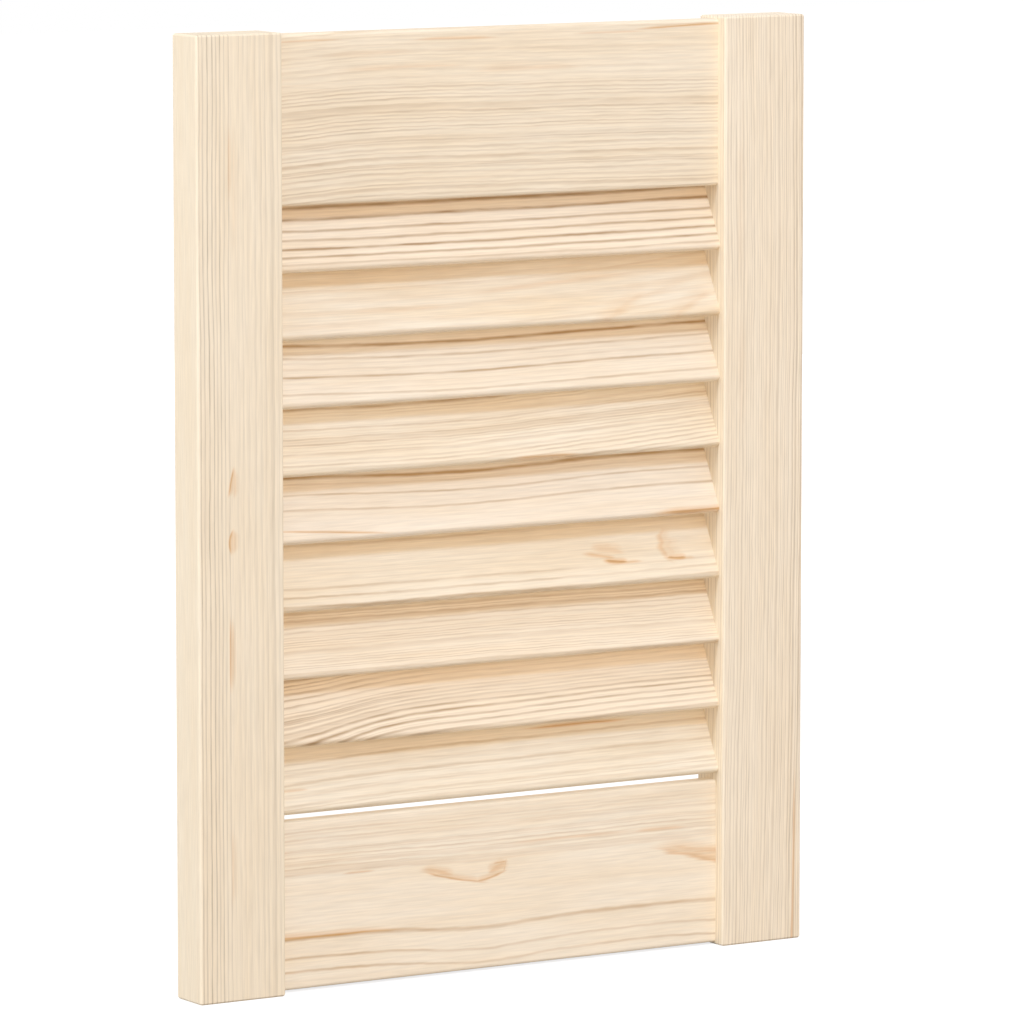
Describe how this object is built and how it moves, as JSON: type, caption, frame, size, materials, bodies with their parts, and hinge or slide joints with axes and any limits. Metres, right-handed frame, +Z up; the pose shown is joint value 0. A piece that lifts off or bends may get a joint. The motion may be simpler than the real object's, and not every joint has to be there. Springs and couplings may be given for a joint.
{
  "type": "louvred cabinet door",
  "caption": "Slatted cabinet door: a bare softwood frame of stiles and recessed rails around a ladder of fixed, slanted louvre slats that let air through.",
  "frame": {"origin": "middle of the door's foot, halfway through the stiles' thickness", "axes": "+Z up along the stiles, +X to the right seen from the front, front faces -Y"},
  "size_m": [0.294, 0.02, 0.395],
  "materials": {
    "pine_frame": "planed and sanded, unfinished",
    "pine_slat": "planed and sanded, unfinished",
    "beech_dowel": "fluted, unfinished"
  },
  "bodies": {
    "root": {"left_stile": "pine_frame", "right_stile": "pine_frame", "top_rail": "pine_frame", "bottom_rail": "pine_frame", "slat_1": "pine_slat", "slat_2": "pine_slat", "slat_3": "pine_slat", "slat_4": "pine_slat", "slat_5": "pine_slat", "slat_6": "pine_slat", "slat_7": "pine_slat", "slat_8": "pine_slat", "slat_9": "pine_slat", "top_left_lower_dowel": "beech_dowel", "top_left_upper_dowel": "beech_dowel", "top_right_lower_dowel": "beech_dowel", "top_right_upper_dowel": "beech_dowel", "bottom_left_lower_dowel": "beech_dowel", "bottom_left_upper_dowel": "beech_dowel", "bottom_right_lower_dowel": "beech_dowel", "bottom_right_upper_dowel": "beech_dowel"}
  },
  "joints": []
}
